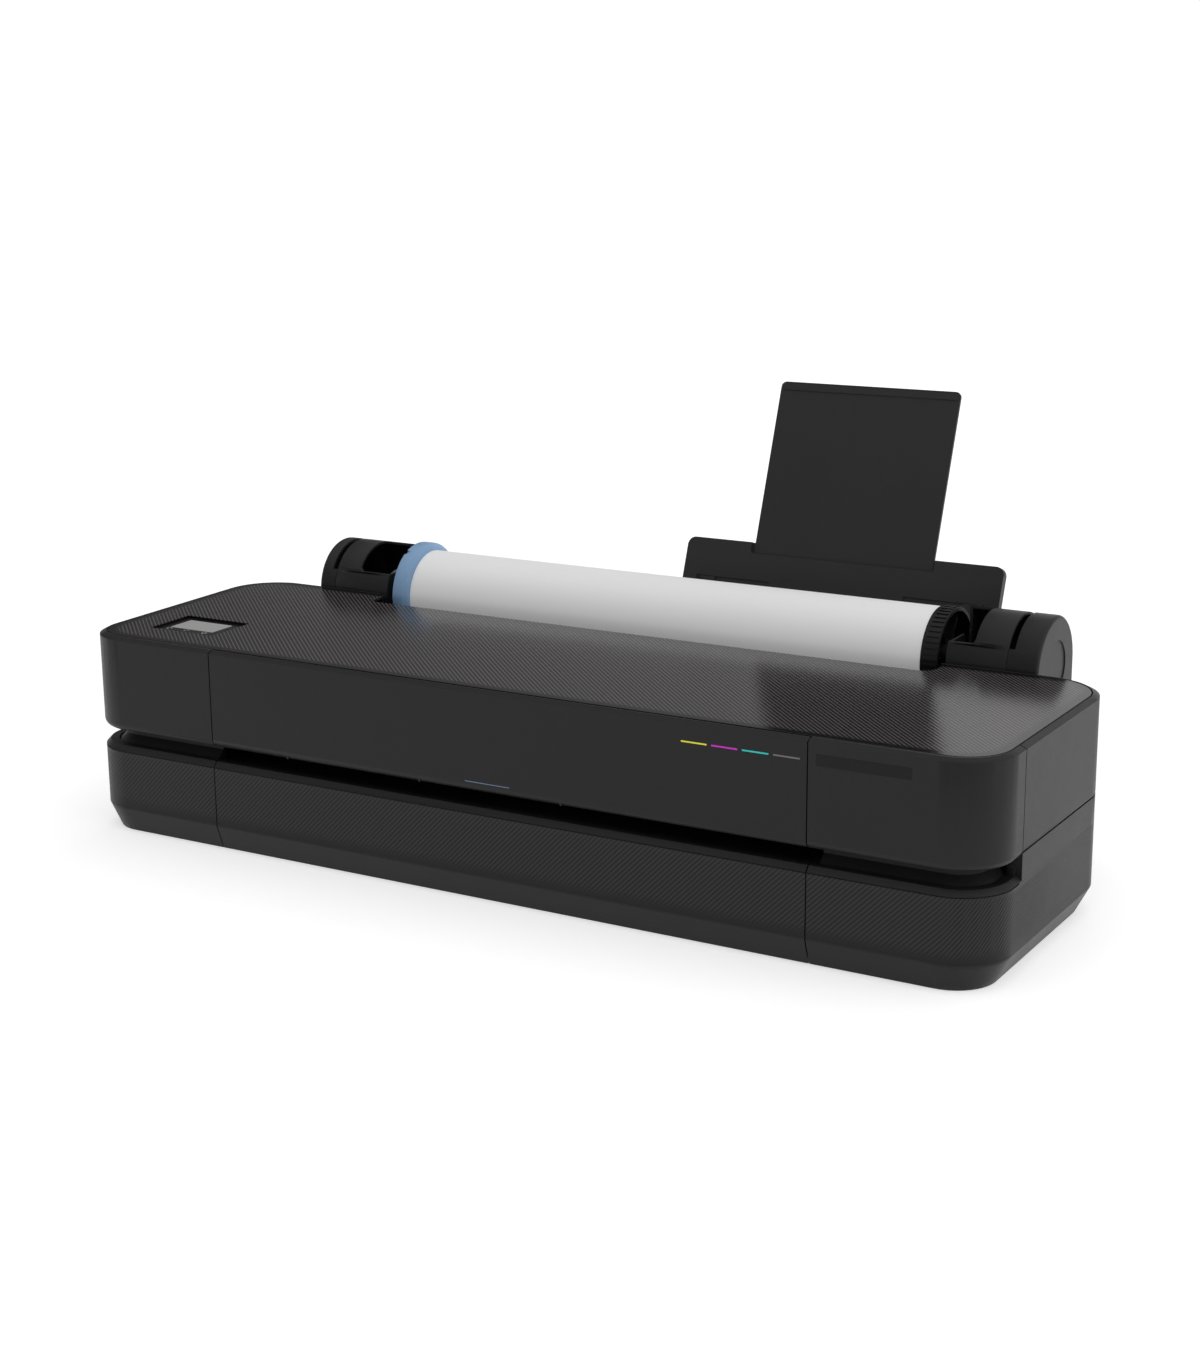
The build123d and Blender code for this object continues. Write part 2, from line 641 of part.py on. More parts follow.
def sheet_guide(side):
    """Edge guide: a flat foot in its channel, with a low fence along the outer edge."""
    outer = tray_centre_x + side * (guide_channel_offset - 0.4)
    span = guide_channel_top - guide_channel_foot - 0.8
    with BuildPart() as guide:
        with BuildSketch(tray_plane.offset(slide_gap - channel_depth)) as foot:
            with Locations((outer - side * guide_foot_width / 2, channel_middle)):
                Rectangle(guide_foot_width, span)
        extrude(foot.sketch, amount=channel_depth - slide_gap)
        with BuildSketch(tray_plane.offset(-0.2)) as fence:
            with Locations((outer - side * fence_width / 2, channel_middle)):
                Rectangle(fence_width, span)
        extrude(fence.sketch, amount=fence_height)
    return guide.part


with BuildPart() as sheet_guide_left:
    add(sheet_guide(-1))

with BuildPart() as sheet_guide_right:
    add(sheet_guide(1))

# ---------------------------------------------------------------- spindle and media roll
roll_half = roll_length / 2
stop_thickness = 18.0
spindle_radius = 8.0
spindle_half = 366.0
with BuildPart() as spindle_shaft:
    rod((-spindle_half, spindle_half), spindle_radius)
    rod((spindle_half - 16, spindle_half - 6), 13)
    chamfer(spindle_shaft.edges().filter_by(GeomType.CIRCLE).group_by(Axis.X)[-1], length=1.5)

blue_radius = 55.5
bevel_depth = 5.0
with BuildPart() as blue_stop:
    outer_face = -roll_half - stop_thickness
    rod((outer_face, -roll_half - bevel_depth), blue_radius)
    with BuildSketch(Plane.YZ.offset(-roll_half - bevel_depth)) as bevel:
        with Locations((roll_axis_y, roll_axis_z)):
            Circle(blue_radius)
    extrude(bevel.sketch, amount=bevel_depth, taper=40)
    rod((-roll_half - 2, -roll_half + 22), core_inner_radius - 0.2)
    # dished outer face with a hub, and three grip notches in the rim
    rod((outer_face - 1, -roll_half - bevel_depth), blue_radius - 6, mode=Mode.SUBTRACT)
    rod((outer_face + 2, -roll_half), 15)
    with BuildSketch(Plane.YZ.offset(outer_face - 1)) as notches:
        with Locations((roll_axis_y, roll_axis_z)):
            with PolarLocations(blue_radius, 3, start_angle=118):
                Rectangle(4.5, 6)
    extrude(notches.sketch, amount=5, mode=Mode.SUBTRACT)
    rod((-400, 0), spindle_radius, mode=Mode.SUBTRACT)

black_radius = 48.5
grip_ribs = 52
with BuildPart() as black_stop:
    outer_face = roll_half + stop_thickness
    rod((roll_half, outer_face), black_radius)
    with BuildSketch(Plane.YZ.offset(roll_half + 4)) as grip:
        with Locations((roll_axis_y, roll_axis_z)):
            with PolarLocations(black_radius, grip_ribs):
                Rectangle(2.6, 2.6)
    extrude(grip.sketch, amount=stop_thickness - 5)
    rod((roll_half + 4, outer_face + 1), black_radius - 4, mode=Mode.SUBTRACT)
    rod((roll_half + 3, outer_face - 3), 15)
    with BuildSketch(Plane.YZ.offset(roll_half + 3)) as spokes:
        with Locations((roll_axis_y, roll_axis_z)):
            with PolarLocations(29, 6):
                Rectangle(32, 1.6)
    extrude(spokes.sketch, amount=8)
    rod((roll_half - 22, roll_half + 2), core_inner_radius - 0.2)
    rod((0, 400), spindle_radius, mode=Mode.SUBTRACT)

with BuildPart() as paper_core:
    rod((-roll_half, roll_half), core_outer_radius)
    rod((-roll_half - 1, roll_half + 1), core_inner_radius, mode=Mode.SUBTRACT)

with BuildPart() as paper_roll:
    rod((-roll_half + 0.3, roll_half - 0.3), roll_radius)
    rod((-roll_half - 1, roll_half + 1), core_outer_radius, mode=Mode.SUBTRACT)

gear_x = -352.0
gear_width = 8.0
pinion_z = roll_axis_z - gear_module * (spindle_gear_teeth + pinion_teeth) / 2 - 0.1
pinion_shaft_radius = 2.5
with BuildPart() as spindle_gear:
    # one tooth points straight down into the pinion
    face_plane = across_plane(gear_x - gear_width / 2, roll_axis_y, roll_axis_z)
    extrude(gear_face(spindle_gear_teeth, face_plane, turn=-90), amount=gear_width)
    rod((gear_x - 6, gear_x + 6), spindle_radius, mode=Mode.SUBTRACT)

with BuildPart() as spindle_pinion:
    # a gap between teeth points straight up
    face_plane = across_plane(gear_x - gear_width / 2, roll_axis_y, pinion_z)
    extrude(gear_face(pinion_teeth, face_plane, turn=90 + 180 / pinion_teeth), amount=gear_width)
    rod((gear_x - 18, gear_x + gear_width / 2), pinion_shaft_radius, roll_axis_y, pinion_z)

with BuildPart() as spindle_motor:
    rod((gear_x - 46, gear_x - 12), 17, roll_axis_y, pinion_z)
    block((gear_x - 12, gear_x - 9), (roll_axis_y - 22, roll_axis_y + 22), (pinion_z - 18, pinion_z + 14))
    rod((gear_x - 20, gear_x - 8), pinion_shaft_radius + running_clearance, roll_axis_y, pinion_z,
        mode=Mode.SUBTRACT)

# ---------------------------------------------------------------- print engine
plate_x = 478.0
plate_front_y = front_y + 106.3
plate_back_y = front_y + 282.3
engine_floor = pan_bottom + skin + pan_rib_height
with BuildPart() as side_plates:
    for side in (-1, 1):
        block((side * plate_x, side * (plate_x + 2)), (plate_front_y, plate_back_y), (engine_floor, 200))
        rod((side * (plate_x - 1), side * (plate_x + 3)), rod_radius, rod_y, rod_z, mode=Mode.SUBTRACT)

with BuildPart() as carriage_rod:
    rod((-plate_x - 2, plate_x + 2), rod_radius, rod_y, rod_z)

beam_back_y = belt_axis_y + 14
beam_length = (-plate_x, plate_x)
with BuildPart() as chassis_beam:
    block(beam_length, (beam_back_y - 18, beam_back_y), (196, 198))
    block(beam_length, (beam_back_y - 2, beam_back_y), (118, 198))

with BuildPart() as encoder_strip:
    block(beam_length, (belt_axis_y - 5.2, belt_axis_y - 4.8), (184, 194))

platen_front_y = exit_axis_y + 14
platen_back_y = feed_axis_y - 12
platen_top = 102.0
with BuildPart() as platen:
    block((-318, 318), (platen_front_y, platen_back_y), (92, platen_top))
    with BuildSketch(Plane.XY.offset(platen_top)) as platen_ribs:
        with Locations((0, (platen_front_y + platen_back_y) / 2)):
            with GridLocations(24, 0, 26, 1):
                Rectangle(2, platen_back_y - platen_front_y - 10)
    extrude(platen_ribs.sketch, amount=1.6)

bracket_x = 340.0
feed_pulley_x = -326.0
feed_shaft_radius = 4.0
exit_shaft_radius = 3.0
with BuildPart() as feed_roller:
    rod((-bracket_x - 14, bracket_x + 8), feed_shaft_radius, feed_axis_y, roller_axis_z)
    rod((-312, 312), roller_radius, feed_axis_y, roller_axis_z)
    rod((feed_pulley_x - 5, feed_pulley_x + 5), belt_pulley_radius, feed_axis_y, roller_axis_z)

with BuildPart() as exit_roller:
    rod((-bracket_x - 8, bracket_x + 8), exit_shaft_radius, exit_axis_y, roller_axis_z)
    for x in range(-280, 281, 80):
        rod((x - 12, x + 12), roller_radius, exit_axis_y, roller_axis_z)
    rod((feed_pulley_x - 5, feed_pulley_x + 5), belt_pulley_radius, exit_axis_y, roller_axis_z)

pinch_z = roller_axis_z + roller_radius + pinch_radius + 0.4
with BuildPart() as pinch_rollers:
    rod((-300, 300), 2, feed_axis_y, pinch_z)
    for x in range(-250, 251, 100):
        rod((x - 18, x + 18), pinch_radius, feed_axis_y, pinch_z)

with BuildPart() as roller_brackets:
    for side in (-1, 1):
        block((side * bracket_x, side * (bracket_x + 2)), (exit_axis_y - 10, feed_axis_y + 14),
              (engine_floor, 105))
        for y, radius in ((feed_axis_y, feed_shaft_radius), (exit_axis_y, exit_shaft_radius)):
            rod((side * (bracket_x - 1), side * (bracket_x + 3)), radius + running_clearance, y,
                roller_axis_z, mode=Mode.SUBTRACT)

with BuildPart() as feed_motor:
    rod((-bracket_x - 46, -bracket_x - 6), 15, feed_axis_y, roller_axis_z)
    rod((-bracket_x - 6, -bracket_x - 2), 9, feed_axis_y, roller_axis_z)
    rod((-bracket_x - 16, -bracket_x), feed_shaft_radius + running_clearance, feed_axis_y, roller_axis_z,
        mode=Mode.SUBTRACT)


def belt_loop(plane, length, width):
    """Flat belt round two equal pulleys, standing 0.05 mm off them."""
    inside = 2 * belt_pulley_radius + 0.1
    with BuildSketch(plane.offset(-width / 2)) as loop:
        SlotCenterToCenter(length, inside + 2 * belt_thickness)
        SlotCenterToCenter(length, inside, mode=Mode.SUBTRACT)
    return loop.sketch


belt_width = 6.0
with BuildPart() as feed_belt:
    belt_plane = across_plane(feed_pulley_x, (feed_axis_y + exit_axis_y) / 2, roller_axis_z)
    extrude(belt_loop(belt_plane, feed_axis_y - exit_axis_y, belt_width), amount=belt_width)

with BuildPart() as carriage_belt:
    belt_plane = Plane(origin=(0, belt_axis_y, belt_z))
    extrude(belt_loop(belt_plane, 2 * belt_end_x, belt_width), amount=belt_width)

pulley_shaft_radius = 2.5
bracket_top = belt_z - 8
bracket_thickness = 3.0


def upright_disc(x, z, radius, mode=Mode.ADD):
    """Cylinder along Z on the carriage belt's centre line, between two heights."""
    with Locations((x, belt_axis_y, sum(z) / 2)):
        Cylinder(radius, abs(z[1] - z[0]), mode=mode)


def belt_pulley(x):
    """Carriage belt pulley: a drum between two flanges, on a stub shaft."""
    with BuildPart() as pulley:
        upright_disc(x, (belt_z - 5, belt_z + 5), belt_pulley_radius)
        upright_disc(x, (belt_z - 5, belt_z - 4), belt_pulley_radius + 2)
        upright_disc(x, (belt_z + 4, belt_z + 5), belt_pulley_radius + 2)
        upright_disc(x, (bracket_top - bracket_thickness - 4, belt_z - 4), pulley_shaft_radius)
    return pulley.part


with BuildPart() as carriage_drive_pulley:
    add(belt_pulley(belt_end_x))

with BuildPart() as carriage_idler_pulley:
    add(belt_pulley(-belt_end_x))

with BuildPart() as belt_brackets:
    for side in (-1, 1):
        x = side * belt_end_x
        block(
            (x - 16, x + 16), (belt_axis_y - 9, beam_back_y - 2),
            (bracket_top - bracket_thickness, bracket_top)
        )
        upright_disc(x, (bracket_top - 10, bracket_top + 10), pulley_shaft_radius + running_clearance,
                     mode=Mode.SUBTRACT)

with BuildPart() as carriage_motor:
    motor_top = bracket_top - bracket_thickness
    upright_disc(belt_end_x, (motor_top - 40, motor_top), 11)
    upright_disc(belt_end_x, (motor_top - 6, motor_top + 1), pulley_shaft_radius + running_clearance,
                 mode=Mode.SUBTRACT)

carriage_half = 52.0
head_half_x = 24.0
head_y = (front_y + 128.3, front_y + 170.3)
head_bottom = 106.5
carriage_bottom = 112.0
clamp_y = belt_axis_y - belt_pulley_radius - belt_thickness / 2 - 0.05
with BuildPart() as carriage:
    park = carriage_park_x
    block((park - carriage_half, park + carriage_half), (front_y + 114.3, front_y + 198.3),
          (carriage_bottom, 178))
    fillet(carriage.edges().filter_by(Axis.X).group_by(Axis.Z)[-1], radius=8)
    # bearing lugs round the guide rod
    for x in (park - 44, park + 24):
        block((x, x + 20), (front_y + 194.3, rod_y + 8), (rod_z - 9, rod_z + 9))
    # belt clamp, with a slot that the belt's front run lies in
    block((park - 14, park + 14), (front_y + 194.3, clamp_y + 4), (belt_z - 6, belt_z + 8))
    block(
        (park - 15, park + 15), (clamp_y - 1.1, clamp_y + 1.1),
        (belt_z - 4, belt_z + 20), mode=Mode.SUBTRACT
    )
    rod((park - 60, park + 60), rod_radius + running_clearance, rod_y, rod_z, mode=Mode.SUBTRACT)

with BuildPart() as printhead:
    block((park - head_half_x, park + head_half_x), head_y, (head_bottom, carriage_bottom))

with BuildPart() as service_station:
    block((park - 44, park + 44), (front_y + 110.3, front_y + 188.3), (40, 98))
    block((park - 28, park + 28), (head_y[0] - 4, head_y[1] + 4), (97, head_bottom - 0.5))
    block((park - head_half_x, park + head_half_x), head_y, (102, head_bottom), mode=Mode.SUBTRACT)

# ---------------------------------------------------------------- ink supply, power and fasteners
ink_first_x = 206.0
ink_pitch = 31.0
ink_width = 26.0
ink_slots = 4
ink_front_y = front_y + 16
ink_back_y = front_y + 98
ink_low = 118.0
ink_high = 196.0


def ink_left_x(slot):
    """Left side of the cartridge in a slot, counted from the left."""
    return ink_first_x + slot * ink_pitch + (ink_pitch - ink_width) / 2


with BuildPart() as cartridge_bay:
    block(
        (ink_first_x - 1, ink_first_x + ink_slots * ink_pitch + 1), (ink_front_y, ink_back_y),
        (ink_low, ink_high)
    )
    for slot in range(ink_slots):
        left = ink_left_x(slot)
        block(
            (left - 0.5, left + ink_width + 0.5),
            (ink_front_y - 1, ink_back_y - 3),
            (ink_low + 2, ink_high - 2),
            mode=Mode.SUBTRACT,
        )

with BuildPart() as ink_cartridges:
    for slot in range(ink_slots):
        left = ink_left_x(slot)
        block((left, left + ink_width), (ink_front_y + 2, ink_back_y - 4), (ink_low + 2.4, ink_high - 3))
        block(
            (left + 4, left + ink_width - 4), (ink_front_y - 2, ink_front_y + 3),
            (ink_high - 30, ink_high - 14)
        )

with BuildPart() as power_supply:
    block((-120, 60), (rear_y + 12, unit_back_y - 8), (housing_bottom + skin, unit_top - skin - 4))

screw_radius = 3.5
screw_head = 1.4
with BuildPart() as case_screws:
    for side in (-1, 1):
        for z in (50, 120):
            with Locations(Location((side * 364, unit_back_y + screw_head / 2, z), (90, 0, 0))):
                Cylinder(screw_radius, screw_head)
            for size in ((4, 0.8), (0.8, 4)):
                with Locations((side * 364, unit_back_y + screw_head - 0.3, z)):
                    Box(size[0], 0.8, size[1], mode=Mode.SUBTRACT)

# ---------------------------------------------------------------- export
pieces = {
    "lower_front_panel": lower_front_panel,
    "base_side_left": base_side_left,
    "base_side_right": base_side_right,
    "base_pan": base_pan,
    "rubber_feet": rubber_feet,
    "output_deck": output_deck,
    "upper_corner_left": upper_corner_left,
    "upper_corner_right": upper_corner_right,
    "upper_side_left": upper_side_left,
    "upper_side_right": upper_side_right,
    "upper_rear_cover": upper_rear_cover,
    "top_cover": top_cover,
    "display_panel": display_panel,
    "front_door": front_door,
    "door_hinge_pins": door_hinge_pins,
    "roll_trough": roll_trough,
    "spindle_housing_left": spindle_housing_left,
    "spindle_housing_right": spindle_housing_right,
    "housing_cap_left": housing_cap_left,
    "housing_cap_right": housing_cap_right,
    "rear_housing": rear_housing,
    "rear_guide_panel": rear_guide_panel,
    "power_inlet": power_inlet,
    "power_button": power_button,
    "main_board": main_board,
    "power_supply": power_supply,
    "case_screws": case_screws,
    "sheet_tray": sheet_tray,
    "tray_extension": tray_extension,
    "sheet_guide_left": sheet_guide_left,
    "sheet_guide_right": sheet_guide_right,
    "spindle_shaft": spindle_shaft,
    "blue_stop": blue_stop,
    "black_stop": black_stop,
    "paper_core": paper_core,
    "paper_roll": paper_roll,
    "spindle_gear": spindle_gear,
    "spindle_pinion": spindle_pinion,
    "spindle_motor": spindle_motor,
    "side_plates": side_plates,
    "chassis_beam": chassis_beam,
    "encoder_strip": encoder_strip,
    "carriage_rod": carriage_rod,
    "carriage_belt": carriage_belt,
    "carriage_drive_pulley": carriage_drive_pulley,
    "carriage_idler_pulley": carriage_idler_pulley,
    "belt_brackets": belt_brackets,
    "carriage_motor": carriage_motor,
    "carriage": carriage,
    "printhead": printhead,
    "service_station": service_station,
    "platen": platen,
    "feed_roller": feed_roller,
    "exit_roller": exit_roller,
    "pinch_rollers": pinch_rollers,
    "roller_brackets": roller_brackets,
    "feed_belt": feed_belt,
    "feed_motor": feed_motor,
    "cartridge_bay": cartridge_bay,
    "ink_cartridges": ink_cartridges,
}
for name, piece in pieces.items():
    piece.part.label = name
    export_step(piece.part, f"parts/{name}.step")
print(len(pieces), "pieces")
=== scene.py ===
"""Looks of the large-format plotter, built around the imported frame. Metres, +Z up."""

import math

import bpy
from mathutils import Matrix, Vector


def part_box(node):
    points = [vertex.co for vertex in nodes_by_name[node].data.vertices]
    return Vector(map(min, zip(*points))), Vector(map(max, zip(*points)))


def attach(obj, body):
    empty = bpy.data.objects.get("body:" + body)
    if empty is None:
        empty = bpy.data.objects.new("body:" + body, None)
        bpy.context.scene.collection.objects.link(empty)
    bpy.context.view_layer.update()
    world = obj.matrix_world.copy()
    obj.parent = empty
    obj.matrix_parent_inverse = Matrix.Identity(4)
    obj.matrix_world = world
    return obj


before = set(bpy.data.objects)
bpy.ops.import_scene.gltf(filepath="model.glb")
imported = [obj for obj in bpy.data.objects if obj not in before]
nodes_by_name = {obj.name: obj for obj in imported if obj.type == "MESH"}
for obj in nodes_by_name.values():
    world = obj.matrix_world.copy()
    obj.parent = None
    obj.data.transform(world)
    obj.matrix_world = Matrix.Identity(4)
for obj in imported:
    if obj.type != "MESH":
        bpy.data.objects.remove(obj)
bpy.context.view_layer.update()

MM = 0.001


# ---------------------------------------------------------------- places taken from the frame
def corner(node, high):
    """Lowest or highest corner of a CAD node."""
    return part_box(node)[1 if high else 0]


cabinet_high = Vector(map(max, corner("base_side_right", True), corner("upper_side_right", True)))
front_y = corner("front_door", False).y
rear_y = cabinet_high.y
lip_z = corner("lower_front_panel", True).z
cover_low = corner("top_cover", False)
cover_high = corner("top_cover", True)
display_low = corner("display_panel", False)
display_high = corner("display_panel", True)


# ---------------------------------------------------------------- shader building blocks
class Shader:
    """A node material with short calls for the sums that the patterns below need."""

    def __init__(self, name):
        self.material = bpy.data.materials.new(name)
        self.material.use_nodes = True
        self.tree = self.material.node_tree
        self.surface = self.tree.nodes["Principled BSDF"]
        self.place = self.node("ShaderNodeTexCoord").outputs["Object"]
        self._axes = None

    def node(self, kind, **settings):
        made = self.tree.nodes.new(kind)
        for key, value in settings.items():
            setattr(made, key, value)
        return made

    def feed(self, socket, value):
        """Links a socket to another one, or sets it to a plain value."""
        if isinstance(value, bpy.types.NodeSocket):
            self.tree.links.new(value, socket)
        else:
            socket.default_value = value

    def sum(self, operation, *values):
        made = self.node("ShaderNodeMath", operation=operation)
        for socket, value in zip(made.inputs, values):
            self.feed(socket, value)
        return made.outputs[0]

    @property
    def axes(self):
        if self._axes is None:
            split = self.node("ShaderNodeSeparateXYZ")
            self.feed(split.inputs[0], self.place)
            self._axes = split.outputs
        return self._axes

    def fade(self, value, start, end):
        """0 before start, 1 after end, smooth between them. Start may lie above end."""
        made = self.node("ShaderNodeMapRange", interpolation_type="SMOOTHSTEP")
        for key, given in (("Value", value), ("From Min", start), ("From Max", end)):
            self.feed(made.inputs[key], given)
        return made.outputs[0]

    def noise(self, scale, detail=3.0, roughness=0.55, stretch=None):
        place = self.place
        if stretch is not None:
            mapping = self.node("ShaderNodeMapping")
            self.feed(mapping.inputs["Vector"], place)
            mapping.inputs["Scale"].default_value = stretch
            place = mapping.outputs[0]
        made = self.node("ShaderNodeTexNoise")
        self.feed(made.inputs["Vector"], place)
        made.inputs["Scale"].default_value = scale
        made.inputs["Detail"].default_value = detail
        made.inputs["Roughness"].default_value = roughness
        return made.outputs["Fac"]

    def blend(self, factor, low, high):
        """Colour between two colours."""
        made = self.node("ShaderNodeMix", data_type="RGBA")
        self.feed(made.inputs["Factor"], factor)
        for socket, value in ((made.inputs[6], low), (made.inputs[7], high)):
            self.feed(socket, value if isinstance(value, bpy.types.NodeSocket) else (*value, 1.0))
        return made.outputs[2]

    def spread(self, value, low, high):
        """Spreads a 0 to 1 value over low to high."""
        return self.sum("MULTIPLY_ADD", value, high - low, low)

    def bump(self, height, distance, strength=1.0, below=None):
        made = self.node("ShaderNodeBump")
        self.feed(made.inputs["Height"], height)
        made.inputs["Distance"].default_value = distance
        made.inputs["Strength"].default_value = strength
        if below is not None:
            self.feed(made.inputs["Normal"], below)
        return made.outputs[0]

    def finish(self, colour, roughness, normal=None, metallic=0.0, **extra):
        self.feed(self.surface.inputs["Base Color"], colour)
        self.feed(self.surface.inputs["Roughness"], roughness)
        self.surface.inputs["Metallic"].default_value = metallic
        if normal is not None:
            self.feed(self.surface.inputs["Normal"], normal)
        for key, value in extra.items():
            self.surface.inputs[key.replace("_", " ")].default_value = value
        return self.material


def lighter(colour, factor):
    return tuple(min(1.0, part * factor) for part in colour)


def moulded(name, colour, roughness, grain=0.00006, grain_scale=2600, variation=0.12, specular=0.19):
    """Moulded plastic: slightly uneven tone, fine grain, faint handling marks."""
    s = Shader(name)
    clouds = s.noise(9, 4)
    marks = s.noise(160, 5, 0.7, stretch=(1.0, 0.35, 1.0))
    tone = s.blend(clouds, lighter(colour, 1 - variation), lighter(colour, 1 + variation))
    tone = s.blend(s.fade(marks, 0.62, 0.8), tone, lighter(colour, 1.5))
    shine = s.sum("ADD", s.spread(clouds, roughness - 0.05, roughness + 0.05),
                  s.spread(marks, -0.04, 0.04))
    height = s.noise(grain_scale, 2)
    return s.finish(tone, shine, s.bump(height, grain), Specular_IOR_Level=specular)


def stripes(s, along, pitch, sharpness=1.6):
    """Rounded ridges: 0 in the grooves, 1 on the crests, repeating every pitch."""
    wave = s.sum("SINE", s.sum("MULTIPLY", along, 2 * math.pi / pitch))
    return s.sum("POWER", s.sum("MULTIPLY_ADD", wave, 0.5, 0.5), sharpness)


def around_cover(s):
    """Distance along the lower cabinet's outline from its middle, as a shader value."""
    x, y, z = s.axes
    side_run = s.sum("MULTIPLY", s.sum("SIGN", x), s.sum("SUBTRACT", y, front_y))
    return s.sum("ADD", x, side_run)


def ribs_with_painted_crests():
    """Modelled ribs: their crests are painted lighter than the grooves, a painted highlight for the light
    they catch.
    """
    colour = (0.0085, 0.0085, 0.0087)
    s = Shader("ribs_with_painted_crests")
    x, y, z = s.axes
    crest_highlight = stripes(s, s.sum("SUBTRACT", around_cover(s), z), rib_pitch)
    along_side = s.fade(s.sum("SUBTRACT", y, front_y), 0.25, 0.08)
    fading = s.sum("MULTIPLY", s.fade(z, *rib_fade_z), along_side)
    clouds = s.noise(9, 4)
    tone = s.blend(clouds, lighter(colour, 0.9), lighter(colour, 1.1))
    # painted highlight: the rib crests are drawn up to 3.3 times lighter than the plastic
    tone = s.blend(s.sum("MULTIPLY", crest_highlight, fading), tone, lighter(colour, 3.3))
    marks = s.noise(160, 5, 0.7, stretch=(1.0, 0.35, 1.0))
    shine = s.sum("ADD", s.spread(clouds, 0.38, 0.46), s.spread(marks, -0.04, 0.04))
    return s.finish(tone, shine, s.bump(s.noise(2600, 2), 0.00005), Specular_IOR_Level=0.2)


def hatched_top():
    """Top cover: glossy brown-black with fine diagonal hatching inside a smooth margin; the hatch lines are
    painted lighter, a painted highlight for the light they catch.
    """
    colour = (0.0060, 0.0053, 0.0054)
    s = Shader("hatched_top")
    x, y, z = s.axes
    lines = stripes(s, s.sum("ADD", x, y), 5.5 * MM, 1.5)
    middle = (cover_low + cover_high) / 2
    half = (cover_high - cover_low) / 2
    radius = 46 * MM
    over = []
    for value, centre, reach in ((x, middle.x, half.x), (y, middle.y, half.y)):
        distance = s.sum("ABSOLUTE", s.sum("SUBTRACT", value, centre))
        over.append(s.sum("MAXIMUM", s.sum("SUBTRACT", distance, reach - radius), 0.0))
    squares = s.sum("ADD", s.sum("MULTIPLY", over[0], over[0]), s.sum("MULTIPLY", over[1], over[1]))
    edge = s.sum("SQRT", squares)
    on_top = s.fade(z, cover_high.z - 0.9 * MM, cover_high.z - 0.4 * MM)
    mask = s.sum("MULTIPLY", on_top, s.fade(edge, radius - 5 * MM, radius - 14 * MM))
    clouds = s.noise(5, 4)
    tone = s.blend(clouds, lighter(colour, 0.9), lighter(colour, 1.1))
    # painted highlight: the moulded hatch lines are drawn far lighter than the cover plastic
    tone = s.blend(s.sum("MULTIPLY", lines, mask), tone, (0.104, 0.094, 0.0955))
    marks = s.noise(90, 6, 0.7, stretch=(1.0, 0.4, 1.0))
    shine = s.sum("ADD", s.spread(marks, 0.10, 0.16), s.sum("MULTIPLY", mask, 0.03))
    grain = s.bump(s.noise(900, 2), 0.000005)
    normal = s.bump(s.sum("MULTIPLY", lines, mask), 0.00004, 0.6, below=grain)
    return s.finish(tone, shine, normal, Specular_IOR_Level=0.14)


def metal(name, colour, roughness, stretch=(1.0, 30.0, 30.0)):
    """Bare or plated metal with fine drawing marks."""
    s = Shader(name)
    drawn = s.noise(60, 5, 0.6, stretch=stretch)
    clouds = s.noise(12, 3)
    tone = s.blend(clouds, lighter(colour, 0.85), lighter(colour, 1.08))
    shine = s.spread(drawn, roughness - 0.08, roughness + 0.1)
    return s.finish(tone, shine, s.bump(drawn, 0.00002), metallic=1.0)


def media_paper():
    """Roll paper: faint fibre, and a little light of its own for what the real paper lets through."""
    s = Shader("media_paper")
    glow = {"Emission_Color": (1, 1, 1, 1), "Emission_Strength": 0.13}
    fibre = s.noise(1500, 4, 0.6, stretch=(0.5, 1.0, 1.0))
    wound = s.noise(30, 3, 0.5, stretch=(0.15, 1.0, 1.0))
    tone = s.blend(wound, (0.80, 0.80, 0.80), (0.84, 0.84, 0.835))
    shine = s.spread(fibre, 0.65, 0.85)
    return s.finish(tone, shine, s.bump(fibre, 0.00003), Specular_IOR_Level=0.25, **glow)


def wound_board():
    s = Shader("wound_board")
    plies = s.noise(400, 4, 0.6, stretch=(0.1, 1.0, 1.0))
    tone = s.blend(plies, (0.32, 0.22, 0.13), (0.47, 0.34, 0.21))
    return s.finish(tone, s.spread(plies, 0.75, 0.95), s.bump(plies, 0.0001))


def rubber(name, colour=(0.02, 0.02, 0.02)):
    s = Shader(name)
    bloom = s.noise(45, 5, 0.65)
    tone = s.blend(s.fade(bloom, 0.45, 0.8), colour, lighter(colour, 2.2))
    return s.finish(tone, s.spread(bloom, 0.7, 0.9), s.bump(s.noise(1800, 3), 0.00008))


def coated_sheet():
    """Zinc-coated sheet steel with its large faint crystals."""
    s = Shader("coated_sheet")
    cells = s.node("ShaderNodeTexVoronoi")
    s.feed(cells.inputs["Vector"], s.place)
    cells.inputs["Scale"].default_value = 140
    shade = s.sum("MULTIPLY", cells.outputs["Distance"], 1.6)
    tone = s.blend(shade, (0.33, 0.34, 0.35), (0.46, 0.47, 0.48))
    return s.finish(tone, s.spread(shade, 0.35, 0.5), metallic=0.85)


def circuit():
    """Green board with its tracks; the data sockets standing on it are dark plastic."""
    s = Shader("circuit_board")
    x, y, z = s.axes
    speckle = s.noise(700, 2, 0.5)
    tone = s.blend(s.fade(speckle, 0.56, 0.6), (0.012, 0.075, 0.035), (0.03, 0.16, 0.07))
    board_face = corner("main_board", False).z + 1.6 * MM
    tone = s.blend(s.fade(z, board_face + 0.1 * MM, board_face + 0.2 * MM), tone, (0.02, 0.02, 0.021))
    return s.finish(tone, s.spread(speckle, 0.3, 0.45), s.bump(speckle, 0.00006))


